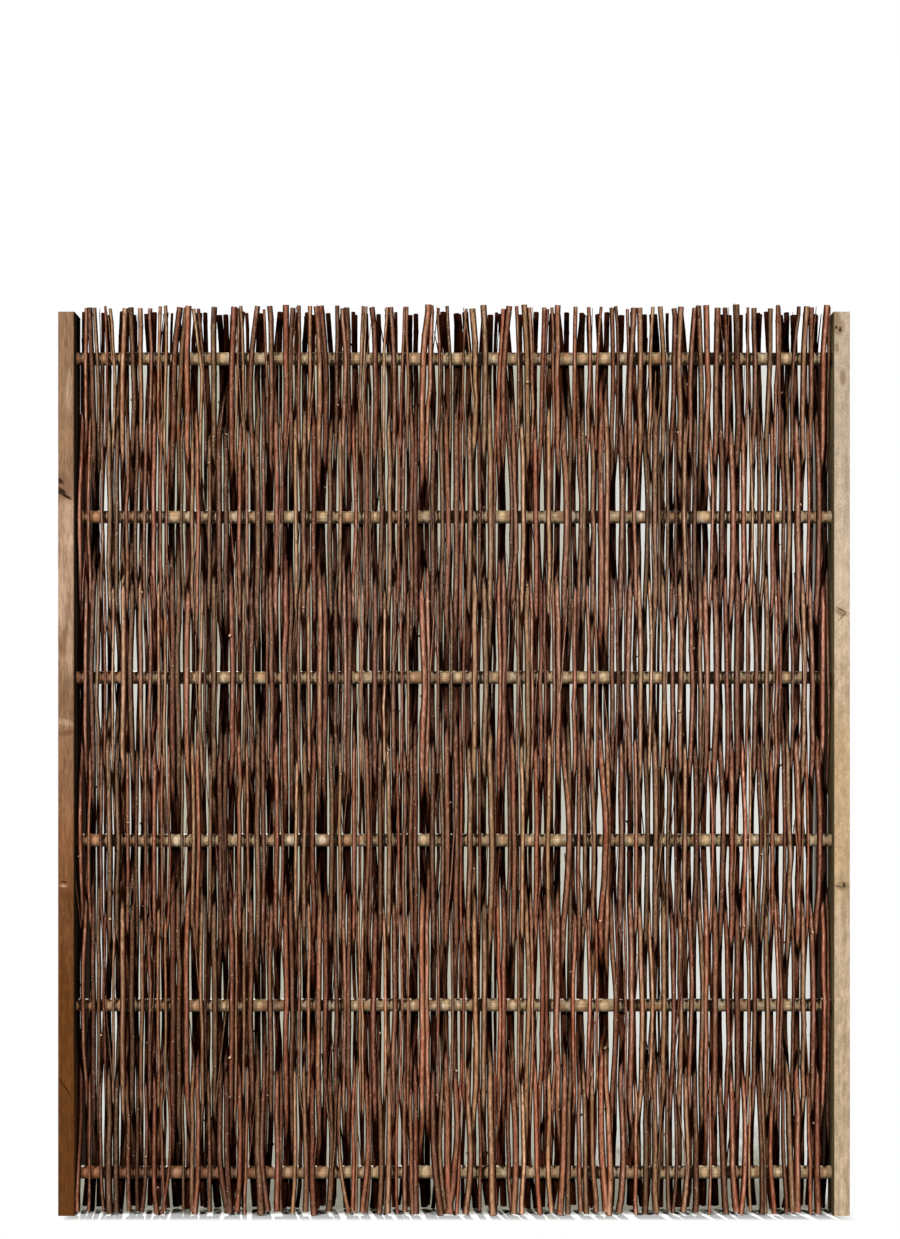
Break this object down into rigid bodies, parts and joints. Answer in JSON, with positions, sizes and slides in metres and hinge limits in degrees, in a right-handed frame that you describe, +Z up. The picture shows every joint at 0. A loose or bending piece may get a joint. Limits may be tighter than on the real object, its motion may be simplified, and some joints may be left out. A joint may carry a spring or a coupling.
{
  "type": "woven willow fence panel",
  "caption": "Upright willow rods woven on round horizontal rails between two sawn side battens, a hurdle for fencing or screening.",
  "frame": {"origin": "on the ground plane, at the middle of the panel's width and depth", "axes": "+Z up along the rods, +X along the rails from the left batten to the right batten seen from the front, the front faces -Y"},
  "size_m": [1.2, 0.0568, 1.38],
  "materials": {
    "left_batten_wood": "rough sawn, stained",
    "right_batten_wood": "rough sawn, pale",
    "rail_wood": "peeled pole",
    "willow_bark": "satin bark",
    "nail_steel": "dull"
  },
  "bodies": {
    "root": {"left_batten": "left_batten_wood", "left_nails": "nail_steel", "rail_1": "rail_wood", "rail_2": "rail_wood", "rail_3": "rail_wood", "rail_4": "rail_wood", "rail_5": "rail_wood", "rail_6": "rail_wood", "right_batten": "right_batten_wood", "right_nails": "nail_steel", "willow_rods_01": "willow_bark", "willow_rods_02": "willow_bark", "willow_rods_03": "willow_bark", "willow_rods_04": "willow_bark", "willow_rods_05": "willow_bark", "willow_rods_06": "willow_bark", "willow_rods_07": "willow_bark", "willow_rods_08": "willow_bark", "willow_rods_09": "willow_bark", "willow_rods_10": "willow_bark", "willow_rods_11": "willow_bark", "willow_rods_12": "willow_bark", "willow_rods_13": "willow_bark", "willow_rods_14": "willow_bark", "willow_rods_15": "willow_bark", "willow_rods_16": "willow_bark", "willow_rods_17": "willow_bark", "willow_rods_18": "willow_bark", "willow_rods_19": "willow_bark", "willow_rods_20": "willow_bark", "willow_rods_21": "willow_bark", "willow_rods_22": "willow_bark", "willow_rods_23": "willow_bark", "willow_rods_24": "willow_bark", "willow_rods_25": "willow_bark", "willow_rods_26": "willow_bark", "willow_rods_27": "willow_bark", "willow_rods_28": "willow_bark", "willow_rods_29": "willow_bark", "willow_rods_30": "willow_bark", "willow_rods_31": "willow_bark", "willow_rods_32": "willow_bark", "willow_rods_33": "willow_bark", "willow_rods_34": "willow_bark", "willow_rods_35": "willow_bark", "willow_rods_36": "willow_bark", "willow_rods_37": "willow_bark", "willow_rods_38": "willow_bark", "willow_rods_39": "willow_bark", "willow_rods_40": "willow_bark", "willow_rods_41": "willow_bark"}
  },
  "joints": []
}
